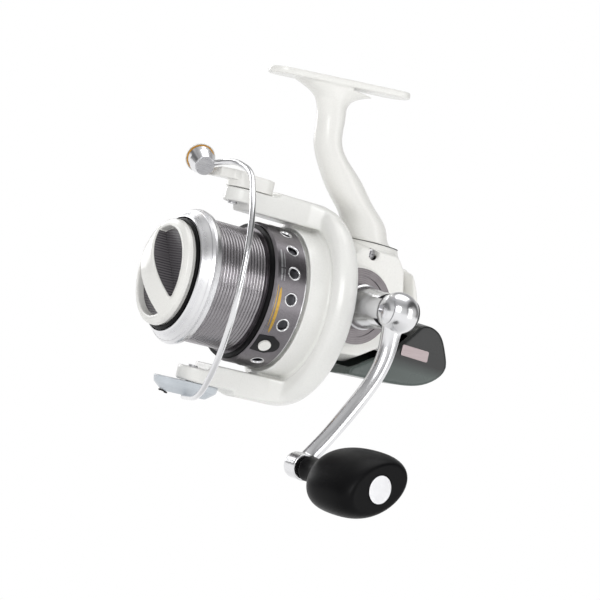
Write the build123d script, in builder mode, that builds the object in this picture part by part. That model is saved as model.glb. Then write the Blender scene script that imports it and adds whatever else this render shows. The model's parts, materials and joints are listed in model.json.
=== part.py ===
from build123d import *
import math
import os

# Front-drag spinning reel for long casting, as an assembly of loose pieces.
#
# Row frame, in millimetres: the origin is the centre of the foot's seat, +X points to the reel's
# nose, +Y to the crank, +Z to the rod. Most sizes below are measured from the reel's own centre,
# which is the point of the main shaft's axis level with the crank's axis; the plane helpers add
# the way from the foot's seat to that centre.

os.makedirs("parts", exist_ok=True)

# --- driving dimensions -------------------------------------------------------------------------
CENTRE_X = -21.7
CENTRE_Z = -107.3
FOOT_TILT = 5.4
FOOT_LENGTH = 75.0
FOOT_WIDTH = 16.5
FOOT_THICK = 3.2

CRANK_Z = 5.7
PARTING_Y = 2.0
PARTING_Z = 37.0
CASE_HALF = 18.0
CASE_WALL = 2.4
CASE_DRAFT = 14.0
BOSS_Y = 24.6
BOSS_R = 18.6

SHAFT_R = 2.0
SHAFT_BORE = 2.08
DRIVE_SHAFT_R = 2.8

PINION_TEETH = 9
GEAR_TEETH = 36
PINION_PITCH_R = 3.6
PINION_TIP_R = 4.15
PINION_ROOT_R = 3.0
GEAR_PITCH_R = PINION_PITCH_R * GEAR_TEETH / PINION_TEETH

SWING_MODULE = 0.8
SWING_PINION_TEETH = 14
SWING_GEAR_TEETH = 32
SWING_X = -17.0
SWING_DISTANCE = SWING_MODULE * (SWING_PINION_TEETH + SWING_GEAR_TEETH) / 2
SWING_Z = CRANK_Z + math.sqrt(SWING_DISTANCE**2 - SWING_X**2)
SWING_Y = -9.5
SWING_THICK = 3.0

ROTOR_R = 43.8
ARM_TIP_R = 8.4
ARM_SEAT_Z = 45.1
ARM_TOP_Z = 48.0
ARM_INNER_Z = 35.6
BAIL_X = 62.0
BAIL_ANGLE = 75.0
BAIL_WIRE_R = 1.35

SKIRT_REAR = 32.6
SKIRT_FRONT = 48.2
SKIRT_R = 32.8
BED_REAR = 49.8
BED_FRONT = 73.6
BED_R = 27.7
LIP_FRONT = 78.0
LIP_R = 31.2
KNOB_RIM_R = 25.2
CLIP_X = 42.7
CLIP_ANGLE = -40.4

KNUCKLE_Y = 61.0
KNUCKLE_R = 9.6
CRANK_END = (35.7, 69.0, -68.9)
KNOB_TILT = 10.0
KNOB_LENGTH = 52.0

GAP = 0.3
RUNNING = 0.04


# --- places -------------------------------------------------------------------------------------
def across(x):
    """Plane square to the main shaft; local x is +Y and local y is +Z."""
    return Plane(origin=(CENTRE_X + x, 0, CENTRE_Z), x_dir=(0, 1, 0), z_dir=(1, 0, 0))


def beside(y, x=0.0, z=0.0):
    """Plane along the reel's side at y; local x is +X, local y is +Z and its normal is -Y."""
    return Plane(origin=(CENTRE_X + x, y, CENTRE_Z + z), x_dir=(1, 0, 0), z_dir=(0, -1, 0))


def level(z, x=0.0, y=0.0):
    """Plane square to +Z; local x is +X and local y is +Y."""
    return Plane(origin=(CENTRE_X + x, y, CENTRE_Z + z), x_dir=(1, 0, 0), z_dir=(0, 0, 1))


def spot(x, y, z):
    """Row-frame point of a place measured from the reel's centre."""
    return (CENTRE_X + x, y, CENTRE_Z + z)


SHAFT_AXIS = Axis(spot(0, 0, 0), (1, 0, 0))
CRANK_AXIS = Axis(spot(0, 0, CRANK_Z), (0, 1, 0))
CRANK_SECTION = Plane(origin=spot(0, 0, CRANK_Z), x_dir=(0, 1, 0), z_dir=(1, 0, 0))
SWING_AXIS = Axis(spot(SWING_X, 0, SWING_Z), (0, 1, 0))
SWING_SECTION = Plane(origin=spot(SWING_X, 0, SWING_Z), x_dir=(0, 1, 0), z_dir=(1, 0, 0))
FOOT_PLANE = Plane.XY.rotated((0, FOOT_TILT, 0))


# --- profiles -----------------------------------------------------------------------------------
def outline(plane, points, corner=0.0, inset=0.0):
    """Closed outline through the points, with rounded corners, set in from its edge by inset."""
    with BuildSketch(plane) as sketch:
        with BuildLine():
            Polyline(*points, close=True)
        make_face()
        if corner:
            fillet(sketch.vertices(), corner)
        if inset:
            offset(amount=-inset, mode=Mode.REPLACE)
    return sketch.sketch


def band(start, end, inner, outer):
    """Corners of a turned ring's section: where it starts and ends, and its two radii."""
    return [(start, inner), (end, inner), (end, outer), (start, outer)]


def ring(start, end, inner, outer):
    """Section of a ring about the main shaft."""
    return outline(beside(0), band(start, end, inner, outer))


def crank_ring(start, end, inner, outer):
    """Section of a ring about the crank's axis; start and end are along Y."""
    return outline(CRANK_SECTION, band(start, end, inner, outer))


def spur_teeth(plane, teeth, root, tip, root_width, tip_width, first):
    """Straight-sided teeth around the plane's origin; first is the angle of one of them."""
    with BuildSketch(plane) as sketch:
        with PolarLocations(0, teeth, start_angle=first):
            Polygon(
                (root - 0.4, -root_width / 2),
                (tip, -tip_width / 2),
                (tip, tip_width / 2),
                (root - 0.4, root_width / 2),
                align=None,
            )
    return sketch.sketch


def hexagon(plane, across_flats):
    """Hexagon centred on the plane's origin."""
    with BuildSketch(plane) as sketch:
        RegularPolygon(across_flats / math.sqrt(3), 6)
    return sketch.sketch


def save(name, piece):
    """Label a finished piece and write it."""
    piece.part.label = name
    export_step(piece.part, f"parts/{name}.step")


# === Gear case, stem and foot ===================================================================
CASE_POINTS = [
    (13.5, -16.0),
    (13.5, 24.0),
    (1.0, PARTING_Z),
    (-28.0, PARTING_Z),
    (-32.4, 30.0),
    (-36.5, 16.0),
    (-42.5, 6.5),
    (-31.3, -8.1),
    (-13.5, -20.3),
    (6.0, -21.5),
]
CASE_CORNER = 4.6
COVER_SCREWS = [(-7.0, 31.2), (4.0, -15.6), (-24.0, -8.5)]
DRUM_R = 20.0
DRUM_WALL = 1.8
DRUM_REAR = 9.5
DRUM_FRONT = 19.5
NECK_R = 16.5
NECK_FRONT = 36.0
BEARING_R = 9.5
BEARING_REAR = 18.5
BEARING_FRONT = 23.5
CLUTCH_R = 13.6
CLUTCH_FRONT = 33.5
SIDE_BEARING_R = 7.5
SIDE_BEARING_THICK = 4.0
LEFT_BEARING_Y = -13.5
RIGHT_BEARING_Y = 19.0
GEAR_DISC_R = GEAR_PITCH_R + 3.2
GEAR_ROOM_R = GEAR_DISC_R + 0.4

# Outline of the side cover's face, drawn in from the case's outline mostly at the rear.
FACE_POINTS = [
    (9.5, -13.5),
    (9.5, 22.3),
    (-0.8, 33.0),
    (-20.5, 33.0),
    (-25.0, 27.0),
    (-28.0, 14.5),
    (-31.0, 6.0),
    (-27.3, -6.5),
    (-11.0, -16.3),
    (4.6, -17.4),
]
COVER_FLOOR = CASE_HALF - CASE_WALL

case_outline = outline(beside(PARTING_Y), CASE_POINTS, CASE_CORNER)
case_inside = outline(beside(PARTING_Y), CASE_POINTS, CASE_CORNER, CASE_WALL)
face_outline = outline(beside(CASE_HALF), FACE_POINTS, CASE_CORNER)
face_inside = outline(beside(COVER_FLOOR), FACE_POINTS, CASE_CORNER, CASE_WALL)

# Stem sections from the case up to the foot: height, rear edge, front edge, half thickness.
STEM = [
    (PARTING_Z, -28.0, -0.4, 12.4),
    (44.0, -19.6, 3.0, 11.0),
    (52.0, -12.3, 9.8, 9.6),
    (60.0, -4.3, 17.8, 8.4),
    (68.0, 4.6, 23.6, 7.5),
    (76.0, 13.0, 27.4, 6.8),
    (86.0, 15.1, 28.9, 6.3),
    (92.0, 15.6, 30.2, 6.1),
    (96.4, 15.1, 32.6, 6.2),
]
# The stem's flare under the foot.
FLARE = [
    STEM[-1],
    (98.2, 13.8, 35.4, 6.4),
    (99.8, 11.8, 39.6, 6.7),
    (101.4, 8.6, 45.4, 7.0),
    (103.4, 3.0, 52.0, 7.4),
]
ROOT = [STEM[0], (26.0, -31.0, 5.0, 15.4)]

# The root flares the stem into the case, and the parting plane cuts it between body and cover.
with BuildPart() as stem_root:
    for height, rear, front, half in ROOT:
        with BuildSketch(level(height, (rear + front) / 2)):
            Ellipse((front - rear) / 2, half)
    loft()
PARTING = Plane(origin=(0, PARTING_Y, 0), z_dir=(0, 1, 0))
cover_root = split(stem_root.part, bisect_by=PARTING, keep=Keep.TOP)
body_root = split(stem_root.part, bisect_by=PARTING, keep=Keep.BOTTOM)

# The side cover is the crank side of the case: a drafted dish with the crank's boss.
with BuildPart() as side_cover:
    loft([case_outline, face_outline], ruled=True)
    add(cover_root)
    revolve(crank_ring(9.0, BOSS_Y, 0.0, BOSS_R), axis=CRANK_AXIS)
    loft([case_inside, face_inside], ruled=True, mode=Mode.SUBTRACT)
    revolve(crank_ring(14.0, RIGHT_BEARING_Y, SIDE_BEARING_R + 2.0, 0.0), axis=CRANK_AXIS)
    for screw_x, screw_z in COVER_SCREWS:
        with BuildSketch(beside(PARTING_Y, screw_x, screw_z)):
            Circle(3.2)
        extrude(amount=-11.0)
    revolve(ring(DRUM_REAR - 0.1, 24.0, 0.0, DRUM_R + 0.1), axis=SHAFT_AXIS, mode=Mode.SUBTRACT)
    revolve(crank_ring(PARTING_Y - 1, 9.5, 0.0, GEAR_ROOM_R), axis=CRANK_AXIS, mode=Mode.SUBTRACT)
    revolve(crank_ring(9.0, 15.5, 0.0, 16.4), axis=CRANK_AXIS, mode=Mode.SUBTRACT)
    revolve(
        crank_ring(RIGHT_BEARING_Y - SIDE_BEARING_THICK, RIGHT_BEARING_Y, 0.0, SIDE_BEARING_R),
        axis=CRANK_AXIS,
        mode=Mode.SUBTRACT,
    )
    revolve(crank_ring(8.0, BOSS_Y + 1, 0.0, 5.2), axis=CRANK_AXIS, mode=Mode.SUBTRACT)
    for screw_x, screw_z in COVER_SCREWS:
        with BuildSketch(beside(PARTING_Y - 1, screw_x, screw_z)):
            Circle(1.25)
        extrude(amount=-30.0, mode=Mode.SUBTRACT)
        with BuildSketch(beside(12.0, screw_x, screw_z)):
            Circle(2.7)
        extrude(amount=-12.0, mode=Mode.SUBTRACT)
save("side_cover", side_cover)

with BuildPart() as body:
    extrude(case_outline, amount=CASE_HALF + PARTING_Y, taper=CASE_DRAFT)
    add(body_root)
    revolve(crank_ring(-9.0, -21.4, 0.0, 12.0), axis=CRANK_AXIS)
    extrude(case_inside, amount=CASE_HALF + PARTING_Y - CASE_WALL, taper=CASE_DRAFT, mode=Mode.SUBTRACT)
    revolve(crank_ring(-17.0, LEFT_BEARING_Y, 0.0, SIDE_BEARING_R + 2.0), axis=CRANK_AXIS)
    revolve(ring(DRUM_REAR, DRUM_FRONT, 0.0, DRUM_R), axis=SHAFT_AXIS)
    revolve(ring(DRUM_FRONT - 1.5, NECK_FRONT, 0.0, NECK_R), axis=SHAFT_AXIS)
    for screw_x, screw_z in COVER_SCREWS:
        with BuildSketch(beside(PARTING_Y, screw_x, screw_z)):
            Circle(3.2)
        extrude(amount=16.0)
    revolve(
        outline(SWING_SECTION, band(-17.0, SWING_Y - 0.4, 0.0, 3.6)),
        axis=SWING_AXIS,
    )
    revolve(ring(5.0, DRUM_FRONT - 1.9, 0.0, DRUM_R - DRUM_WALL), axis=SHAFT_AXIS, mode=Mode.SUBTRACT)
    # Bulkhead for the pinion's tail.
    with BuildSketch(level(-6.0)):
        with Locations((9.0, -6.7)):
            Rectangle(3.0, 22.4)
    extrude(amount=10.6)
    revolve(crank_ring(4.3, 22.0, 0.0, GEAR_ROOM_R), axis=CRANK_AXIS, mode=Mode.SUBTRACT)
    revolve(crank_ring(2.9, 5.0, 11.5, GEAR_ROOM_R), axis=CRANK_AXIS, mode=Mode.SUBTRACT)
    revolve(ring(6.0, 12.0, 0.0, 3.9), axis=SHAFT_AXIS, mode=Mode.SUBTRACT)
    revolve(ring(17.0, BEARING_REAR, 0.0, 6.0), axis=SHAFT_AXIS, mode=Mode.SUBTRACT)
    revolve(ring(BEARING_REAR, BEARING_FRONT, 0.0, BEARING_R), axis=SHAFT_AXIS, mode=Mode.SUBTRACT)
    revolve(ring(BEARING_FRONT, NECK_FRONT + 1, 0.0, CLUTCH_R), axis=SHAFT_AXIS, mode=Mode.SUBTRACT)
    revolve(
        crank_ring(LEFT_BEARING_Y - SIDE_BEARING_THICK, LEFT_BEARING_Y, 0.0, SIDE_BEARING_R),
        axis=CRANK_AXIS,
        mode=Mode.SUBTRACT,
    )
    revolve(crank_ring(-22.0, -5.0, 0.0, 5.2), axis=CRANK_AXIS, mode=Mode.SUBTRACT)
    revolve(
        outline(SWING_SECTION, band(-15.0, SWING_Y, 0.0, 1.6)),
        axis=SWING_AXIS,
        mode=Mode.SUBTRACT,
    )
    for screw_x, screw_z in COVER_SCREWS:
        with BuildSketch(beside(PARTING_Y, screw_x, screw_z)):
            Circle(1.1)
        extrude(amount=12.0, mode=Mode.SUBTRACT)
    for sections in (STEM, FLARE):
        for height, rear, front, half in sections:
            with BuildSketch(level(height, (rear + front) / 2)):
                Ellipse((front - rear) / 2, half)
        loft(ruled=sections is FLARE)
    with BuildSketch(FOOT_PLANE):
        SlotOverall(FOOT_LENGTH, FOOT_WIDTH)
    extrude(amount=-FOOT_THICK)
save("body", body)

# === Fixed trim, covers and bearings ============================================================
with BuildPart() as side_ring:
    revolve(crank_ring(BOSS_Y, 25.7, 14.2, 17.6), axis=CRANK_AXIS)
    revolve(crank_ring(BOSS_Y, 25.2, 11.0, 14.2), axis=CRANK_AXIS)
    revolve(crank_ring(BOSS_Y, 26.2, 8.6, 11.0), axis=CRANK_AXIS)
save("side_ring", side_ring)

with BuildPart() as cover_screws:
    for screw_x, screw_z in COVER_SCREWS:
        with BuildSketch(beside(-8.0, screw_x, screw_z)):
            Circle(1.1)
        extrude(amount=-20.0)
        with BuildSketch(beside(12.0, screw_x, screw_z)):
            Circle(2.5)
        extrude(amount=-2.2)
        with BuildSketch(beside(14.2, screw_x, screw_z)):
            Rectangle(3.2, 0.8)
            Rectangle(0.8, 3.2)
        extrude(amount=1.2, mode=Mode.SUBTRACT)
save("cover_screws", cover_screws)

# Lower rear cover: a dark shell under and behind the case.
REAR_HALF = 15.5
REAR_CURVE = [
    (-28.0, -26.1),
    (-46.0, -24.8),
    (-58.0, -20.0),
    (-63.8, -12.5),
    (-61.6, -4.6),
    (-55.6, 4.2),
    (-50.5, 6.4),
    (-43.4, 5.3),
]
REAR_FRONT = [REAR_CURVE[-1], (-31.6, -8.9), (-12.4, -20.7), (-8.6, -22.8), (-7.6, -26.6), REAR_CURVE[0]]
REAR_MIDDLE = (-38.0, -12.0)


def rear_section(y, share):
    """Rear cover's outline at y, drawn in towards its middle to a share of its size."""
    with BuildSketch(beside(y, *REAR_MIDDLE)) as section:
        with BuildLine():
            Spline(*[drawn_in(place, share) for place in REAR_CURVE])
            Polyline(*[drawn_in(place, share) for place in REAR_FRONT])
        make_face()
    return section.sketch


def drawn_in(place, share):
    """Place on the rear cover's outline from the outline's middle, at a share of its distance."""
    return (share * (place[0] - REAR_MIDDLE[0]), share * (place[1] - REAR_MIDDLE[1]))


with BuildPart() as rear_cover:
    loft([rear_section(-REAR_HALF, 0.94), rear_section(0.0, 1.0), rear_section(REAR_HALF, 0.94)], ruled=True)
    with BuildSketch(beside(0)):
        with BuildLine():
            Polyline(
                (-11.0, -21.0),
                (-11.0, -24.0),
                (-45.5, -22.6),
                (-56.4, -18.3),
                (-61.2, -12.0),
                (-59.4, -5.0),
                (-54.4, 2.6),
                (-50.0, 4.2),
                (-45.0, 3.6),
                (-31.0, -7.0),
                close=True,
            )
        make_face()
    extrude(amount=12.4, both=True, mode=Mode.SUBTRACT)
save("rear_cover", rear_cover)

LABEL_POINTS = [(-35.0, -5.8), (-50.2, -6.4), (-50.4, -11.6), (-34.9, -10.9)]
with BuildPart() as label_plate:
    extrude(outline(beside(REAR_HALF), LABEL_POINTS, 0.8), amount=-0.6)
save("label_plate", label_plate)

# White cap over the case's rear bearing seat.
with BuildPart() as rear_cap:
    extrude(
        outline(
            beside(0),
            [
                (-32.9, 30.2),
                (-37.4, 29.9),
                (-40.2, 25.6),
                (-42.4, 21.3),
                (-43.8, 17.6),
                (-45.6, 12.0),
                (-47.4, 7.1),
                (-43.6, 6.3),
                (-37.2, 16.3),
            ],
            0.8,
        ),
        amount=8.8,
        both=True,
        taper=14,
    )
save("rear_cap", rear_cap)


SIDE_BORE = 4.0
with BuildPart() as crank_bearings:
    for start in (LEFT_BEARING_Y - SIDE_BEARING_THICK, RIGHT_BEARING_Y - SIDE_BEARING_THICK):
        revolve(crank_ring(start, start + SIDE_BEARING_THICK, SIDE_BORE, SIDE_BEARING_R), axis=CRANK_AXIS)
save("crank_bearings", crank_bearings)

with BuildPart() as pinion_bearing:
    revolve(ring(BEARING_REAR, BEARING_FRONT, PINION_TIP_R + RUNNING, BEARING_R), axis=SHAFT_AXIS)
save("pinion_bearing", pinion_bearing)

with BuildPart() as pinion_bush:
    revolve(ring(7.5, 10.5, PINION_ROOT_R + RUNNING, 3.9), axis=SHAFT_AXIS)
save("pinion_bush", pinion_bush)

# One-way roller clutch: outer cage with ramps, and the rollers in their pockets.
ROLLERS = 6
ROLLER_R = 1.5
ROLLER_CIRCLE = 8.6
with BuildPart() as clutch_cage:
    revolve(ring(24.0, CLUTCH_FRONT - 0.6, 7.4, CLUTCH_R), axis=SHAFT_AXIS)
    with BuildSketch(across(24.0)):
        with PolarLocations(ROLLER_CIRCLE, ROLLERS):
            Circle(ROLLER_R + 0.15)
    extrude(amount=12.0, mode=Mode.SUBTRACT)
save("clutch_cage", clutch_cage)

with BuildPart() as clutch_rollers:
    with BuildSketch(across(24.4)):
        with PolarLocations(ROLLER_CIRCLE, ROLLERS):
            Circle(ROLLER_R)
    extrude(amount=8.0)
save("clutch_rollers", clutch_rollers)

with BuildPart() as clutch_retainer:
    revolve(ring(NECK_FRONT, NECK_FRONT + 1.4, 7.6, NECK_R), axis=SHAFT_AXIS)
save("clutch_retainer", clutch_retainer)

with BuildPart() as left_cap:
    revolve(crank_ring(-23.4, -21.4, 0.0, 8.5), axis=CRANK_AXIS)
    revolve(crank_ring(-21.4, -18.4, 0.0, 5.2), axis=CRANK_AXIS)
save("left_cap", left_cap)

# === Drive train ================================================================================
# The face gear's teeth lie along lines that pass the crank's axis at the height of the main shaft,
# so a tooth in mesh lies along the pinion.
FACE_TIP_Y = PINION_ROOT_R + 0.2
FACE_ROOT_Y = PINION_TIP_R + 0.25
SHAFT_END_Y = LEFT_BEARING_Y - SIDE_BEARING_THICK
with BuildPart() as drive_gear:
    revolve(crank_ring(FACE_ROOT_Y, FACE_ROOT_Y + 3.0, 0.0, GEAR_DISC_R), axis=CRANK_AXIS)
    revolve(crank_ring(3.1, 12.0, 0.0, 4.4), axis=CRANK_AXIS)
    revolve(crank_ring(SHAFT_END_Y, 3.2, 0.0, DRIVE_SHAFT_R), axis=CRANK_AXIS)
    revolve(crank_ring(SHAFT_END_Y, SWING_Y - 0.5, 0.0, SIDE_BORE - RUNNING), axis=CRANK_AXIS)
    revolve(crank_ring(12.0, 27.0, 0.0, SIDE_BORE - RUNNING), axis=CRANK_AXIS)
    with BuildSketch(beside(FACE_TIP_Y, 0, CRANK_Z)):
        with PolarLocations(0, GEAR_TEETH, start_angle=180 / GEAR_TEETH):
            with Locations((GEAR_PITCH_R, -CRANK_Z)):
                Rectangle(4.0, 0.8)
    extrude(amount=-(FACE_ROOT_Y - FACE_TIP_Y + 0.1))
save("drive_gear", drive_gear)

swing_angle = math.degrees(math.atan2(SWING_Z - CRANK_Z, SWING_X))
with BuildPart() as oscillation_pinion:
    revolve(crank_ring(SWING_Y, SWING_Y + SWING_THICK, DRIVE_SHAFT_R, 4.6), axis=CRANK_AXIS)
    extrude(
        spur_teeth(
            beside(SWING_Y, 0, CRANK_Z),
            SWING_PINION_TEETH,
            SWING_MODULE * SWING_PINION_TEETH / 2 - 1.0,
            SWING_MODULE * SWING_PINION_TEETH / 2 + 0.65,
            1.25,
            0.65,
            swing_angle,
        ),
        amount=-SWING_THICK,
    )
save("oscillation_pinion", oscillation_pinion)

SWING_PIN_R = 9.0
SWING_ROOT_R = SWING_MODULE * SWING_GEAR_TEETH / 2 - 0.9
with BuildPart() as oscillation_gear:
    revolve(
        outline(SWING_SECTION, band(SWING_Y, SWING_Y + SWING_THICK, 0.0, SWING_ROOT_R)),
        axis=SWING_AXIS,
    )
    extrude(
        spur_teeth(
            beside(SWING_Y, SWING_X, SWING_Z),
            SWING_GEAR_TEETH,
            SWING_MODULE * SWING_GEAR_TEETH / 2 - 1.0,
            SWING_MODULE * SWING_GEAR_TEETH / 2 + 0.65,
            1.25,
            0.65,
            swing_angle + 180 + 180 / SWING_GEAR_TEETH,
        ),
        amount=-SWING_THICK,
    )
    with BuildSketch(beside(SWING_Y + SWING_THICK, SWING_X - SWING_PIN_R, SWING_Z)):
        Circle(1.3)
    extrude(amount=-0.8)
    revolve(
        outline(SWING_SECTION, band(-14.0, SWING_Y, 0.0, 1.6 - RUNNING)),
        axis=SWING_AXIS,
    )
save("oscillation_gear", oscillation_gear)

with BuildPart() as pinion:
    revolve(ring(7.5, 12.2, SHAFT_BORE, PINION_ROOT_R), axis=SHAFT_AXIS)
    revolve(ring(11.8, 17.3, SHAFT_BORE, PINION_ROOT_R), axis=SHAFT_AXIS)
    extrude(
        spur_teeth(across(11.8), PINION_TEETH, PINION_ROOT_R, PINION_TIP_R, 1.15, 0.75, 0.0),
        amount=5.4,
    )
    revolve(ring(17.2, 45.6, SHAFT_BORE, PINION_TIP_R), axis=SHAFT_AXIS)
save("pinion", pinion)

with BuildPart() as clutch_sleeve:
    revolve(ring(24.0, 40.8, PINION_TIP_R, ROLLER_CIRCLE - ROLLER_R - RUNNING), axis=SHAFT_AXIS)
save("clutch_sleeve", clutch_sleeve)

# === Rotor ======================================================================================
# Outer band, slightly taller than wide so that it flows into the arms: place, half width and
# half height of each section.
ROTOR_BAND = [
    (10.4, 41.4, 42.6),
    (11.4, 42.6, 44.6),
    (13.0, 43.4, 46.2),
    (15.4, ROTOR_R, 47.3),
    (18.4, 43.3, 47.8),
    (20.8, 41.6, 46.8),
    (22.0, 39.4, 45.0),
]
BAND_INSIDE = [
    (10.0, 0.0),
    (10.0, 39.2),
    (18.6, 38.4),
    (18.6, 27.6),
    (20.7, 27.6),
    (20.7, 36.8),
    (22.4, 38.1),
    (22.4, 0.0),
]
CUP_POINTS = [
    (18.6, 35.2),
    (20.7, 35.0),
    (31.4, 34.6),
    (31.4, 33.6),
    (27.4, 33.6),
    (27.4, 30.2),
    (44.0, 30.2),
    (44.0, PINION_TIP_R + 0.05),
    (41.0, PINION_TIP_R + 0.05),
    (41.0, 27.6),
    (18.6, 27.6),
]


def arm_profile(tip):
    """Side view of an arm above the main shaft, with its lowered seat for the bail."""
    return [
        (18.0, ARM_INNER_Z + 4.0),
        (18.0, 47.6),
        (22.0, ARM_TOP_Z),
        (42.6, ARM_TOP_Z),
        (43.4, ARM_SEAT_Z),
        (tip, ARM_SEAT_Z),
        (tip, 38.6),
        (57.6, 38.6),
        (57.0, ARM_INNER_Z),
        (20.0, ARM_INNER_Z),
    ]


def arm_plan(tip):
    """Outline of an arm seen from outside: wide at its root and round at its tip."""
    edge = [(tip - ARM_TIP_R, ARM_TIP_R), (40.0, 9.6), (28.0, 11.0), (22.0, 14.5), (17.5, 20.5), (17.0, 0.0)]
    with BuildSketch(level(0)) as plan:
        with BuildLine():
            Polyline(*edge)
            Polyline(*[(x, -y) for x, y in edge])
            ThreePointArc((tip - ARM_TIP_R, -ARM_TIP_R), (tip, 0.0), (tip - ARM_TIP_R, ARM_TIP_R))
        make_face()
    return plan.sketch


def envelope(x):
    """Oval that bounds the rotor's band and arms, on a plane square to the shaft."""
    with BuildSketch(across(x)) as oval:
        Ellipse(ROTOR_R, ARM_TOP_Z)
    return oval.sketch


def arm(tip, side):
    """One arm as a solid, above the shaft when side is 1 and below it when side is -1."""
    with BuildPart() as made:
        points = [(x, side * z) for x, z in arm_profile(tip)]
        extrude(outline(beside(0), points, 0.5), amount=22.0, both=True)
        extrude(arm_plan(tip), amount=side * 52.0, mode=Mode.INTERSECT)
        extrude(envelope(0.0), amount=80.0, mode=Mode.INTERSECT)
    return made.part


UPPER_TIP = 66.2
LOWER_TIP = 68.6
PIVOT_R = 2.2
COVER_BACK = 21.8
COVER_FRONT = 41.6
COVER_MIDDLE = (COVER_BACK + COVER_FRONT) / 2
COVER_WIDTH = 14.0
COVER_THICK = 1.4
POCKET_X = 31.3
POCKET_FLOOR = 41.0

upper_arm = arm(UPPER_TIP, 1)
lower_arm = arm(LOWER_TIP, -1)
with BuildPart() as rotor:
    for x, half_width, half_height in ROTOR_BAND:
        with BuildSketch(across(x)):
            Ellipse(half_width, half_height)
    loft(ruled=True)
    revolve(outline(beside(0), BAND_INSIDE), axis=SHAFT_AXIS, mode=Mode.SUBTRACT)
    revolve(outline(beside(0), CUP_POINTS), axis=SHAFT_AXIS)
    add(upper_arm)
    add(lower_arm)
    # Pockets for the bail spring and the balance weight, and the seats of their covers.
    for side in (1, -1):
        with BuildSketch(level(side * POCKET_FLOOR, POCKET_X)):
            Rectangle(17.6, 10.0)
        extrude(amount=side * 10.0, mode=Mode.SUBTRACT)
        with BuildSketch(level(side * (ARM_TOP_Z - COVER_THICK), COVER_MIDDLE)):
            Rectangle(COVER_FRONT - COVER_BACK, COVER_WIDTH)
        extrude(amount=side * 5.0, mode=Mode.SUBTRACT)
        with BuildSketch(level(side * 30.0, BAIL_X)):
            Circle(PIVOT_R)
        extrude(amount=side * 20.0, mode=Mode.SUBTRACT)
save("rotor", rotor)

with BuildPart() as rotor_nut:
    extrude(hexagon(across(44.0), 13.0), amount=4.6)
    revolve(ring(43.0, 50.0, 0.0, PINION_TIP_R), axis=SHAFT_AXIS, mode=Mode.SUBTRACT)
save("rotor_nut", rotor_nut)

COVER_SCREW_X = COVER_FRONT - 3.3
with BuildPart() as arm_covers:
    for side in (1, -1):
        with BuildSketch(level(side * (ARM_TOP_Z - COVER_THICK), COVER_MIDDLE)):
            Rectangle(COVER_FRONT - COVER_BACK, COVER_WIDTH)
        extrude(amount=side * COVER_THICK)
        with BuildSketch(level(side * ARM_TOP_Z, COVER_SCREW_X)):
            Circle(1.3)
        extrude(amount=-side * COVER_THICK, mode=Mode.SUBTRACT)
    extrude(envelope(0.0), amount=80.0, mode=Mode.INTERSECT)
save("arm_covers", arm_covers)

with BuildPart() as arm_cover_screws:
    for side in (1, -1):
        with BuildSketch(level(side * (ARM_TOP_Z - COVER_THICK), COVER_SCREW_X)):
            Circle(1.3)
        extrude(amount=side * (COVER_THICK - 0.2))
save("arm_cover_screws", arm_cover_screws)

with BuildPart() as balance_weight:
    with BuildSketch(level(-POCKET_FLOOR, POCKET_X)):
        Rectangle(15.0, 9.0)
    extrude(amount=-4.6)
save("balance_weight", balance_weight)

# Bail spring on its guide, lying in the upper arm's pocket.
SPRING_TURNS = 7
SPRING_R = 1.9
WIRE_R = 0.35
with BuildPart() as bail_spring:
    with BuildLine() as coil:
        Helix(
            pitch=11.0 / SPRING_TURNS,
            height=11.0,
            radius=SPRING_R,
            center=spot(25.0, -1.6, 43.8),
            direction=(1, 0, 0),
        )
    with BuildSketch(Plane(origin=coil.line @ 0, z_dir=coil.line % 0)):
        Circle(WIRE_R)
    sweep(is_frenet=True)
save("bail_spring", bail_spring)

with BuildPart() as spring_guide:
    with BuildSketch(Plane(origin=spot(23.2, -1.6, 43.8), x_dir=(0, 1, 0), z_dir=(1, 0, 0))):
        Circle(1.2)
    extrude(amount=16.0)
save("spring_guide", spring_guide)

# === Main shaft and oscillation slider ==========================================================
SHAFT_REAR = -29.0
SHAFT_NOSE = 95.0
with BuildPart() as main_shaft:
    revolve(ring(SHAFT_REAR, SHAFT_NOSE, 0.0, SHAFT_R), axis=SHAFT_AXIS)
save("main_shaft", main_shaft)

SLIDER_X = SWING_X - SWING_PIN_R
SLIDER_LENGTH = 6.0
SLIDER_LOW = -3.4
SLIDER_HIGH = SWING_Z + SWING_PIN_R + 2.8
SLOT_HALF_HEIGHT = SWING_PIN_R + 1.7
with BuildPart() as oscillation_slider:
    with BuildSketch(beside(2.8, SLIDER_X, 0.6)):
        Rectangle(SLIDER_LENGTH, 8.0)
    extrude(amount=8.3)
    with BuildSketch(beside(-3.8, SLIDER_X, (SLIDER_LOW + SLIDER_HIGH) / 2)):
        Rectangle(SLIDER_LENGTH, SLIDER_HIGH - SLIDER_LOW)
    extrude(amount=1.7)
    with BuildSketch(beside(-3.8, SLIDER_X, SWING_Z)):
        SlotOverall(2 * SLOT_HALF_HEIGHT, 3.2, rotation=90)
    extrude(amount=1.7, mode=Mode.SUBTRACT)
    revolve(ring(SHAFT_REAR, -20.0, 0.0, SHAFT_R), axis=SHAFT_AXIS, mode=Mode.SUBTRACT)
save("oscillation_slider", oscillation_slider)

# Seat washer and cross pin that carry the spool on the main shaft.
SEAT_X = 51.6
with BuildPart() as spool_seat:
    revolve(ring(SEAT_X, SEAT_X + 2.0, SHAFT_R, 8.0), axis=SHAFT_AXIS)
    revolve(ring(SEAT_X + 2.0, SEAT_X + 18.0, SHAFT_R, 3.4), axis=SHAFT_AXIS)
save("spool_seat", spool_seat)

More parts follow.
